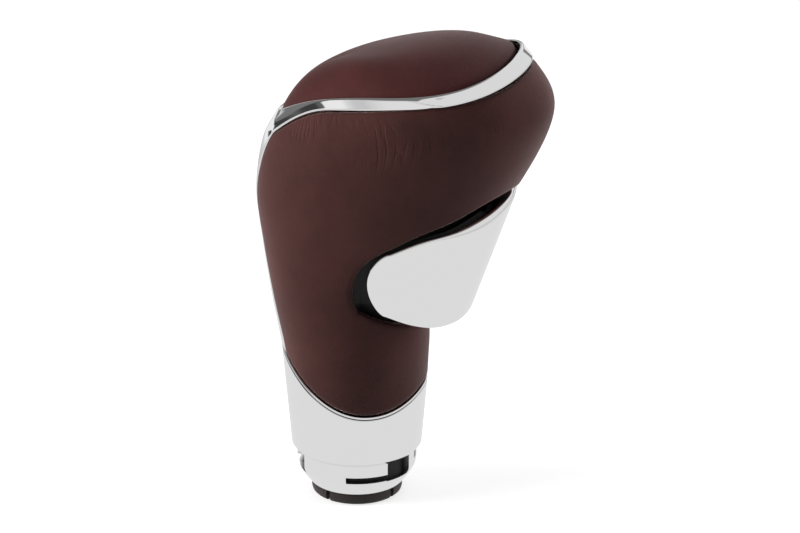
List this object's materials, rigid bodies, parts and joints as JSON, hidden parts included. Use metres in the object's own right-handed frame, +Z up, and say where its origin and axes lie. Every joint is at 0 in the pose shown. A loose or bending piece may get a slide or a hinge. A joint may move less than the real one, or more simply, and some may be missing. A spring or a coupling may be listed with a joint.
{
  "type": "gear shift knob",
  "caption": "Leather-wrapped automatic gear selector grip on a chrome sleeve, with a crowned leather top pad, chrome trim bow and a hinged front squeeze trigger that pushes a release plunger.",
  "frame": {"origin": "on the lever's axis, at the mouth of the lever bore, the lower end of the socket ring", "axes": "+Z up along the lever's axis, +X to the front of the car where the trigger and the head's nose are, +Y to the left of the car"},
  "size_m": [0.0761, 0.0504, 0.1254],
  "materials": {
    "dark_leather": "fine grain, satin",
    "pad_leather": "fine grain, satin",
    "chrome_plating": "polished",
    "black_moulding": "fine moulded texture",
    "black_socket": "moulded, slightly glossy",
    "natural_polymer": "smooth, waxy",
    "sprung_steel": "rolled",
    "turned_steel": "turned",
    "stop_rubber": "matte"
  },
  "bodies": {
    "handle": {"grip_core": "black_moulding", "leather_wrap": "dark_leather", "trim_bow": "chrome_plating", "crown_pad": "pad_leather", "pad_carrier": "black_moulding", "sleeve": "chrome_plating", "lever_socket": "black_socket", "lever_clip": "sprung_steel", "guide_bush": "natural_polymer", "trigger_bracket": "sprung_steel", "bracket_screws": "turned_steel", "trigger_pin": "turned_steel", "pin_clips": "sprung_steel", "arm_bumper": "stop_rubber", "plunger_spring": "sprung_steel"},
    "trigger": {"trigger_shell": "chrome_plating", "trigger_carrier": "black_moulding"},
    "plunger": {"plunger": "natural_polymer"}
  },
  "joints": [
    {"name": "trigger_pull", "type": "hinge", "parent": "handle", "child": "trigger", "pos_m": [0.024, 0, 0.0575], "axis": [0, -1, 0], "range_deg": [0, 7], "stiffness_Nm_per_rad": 0.3, "springref_deg": -5.73},
    {"name": "plunger_push", "type": "slide", "parent": "handle", "child": "plunger", "axis": [0, 0, -1], "range_m": [0, 0.003], "deforming": ["plunger_spring"]}
  ],
  "couplings": [
    {"joint": "plunger_push", "follows": "trigger_pull", "m_per_rad": 0.024}
  ]
}
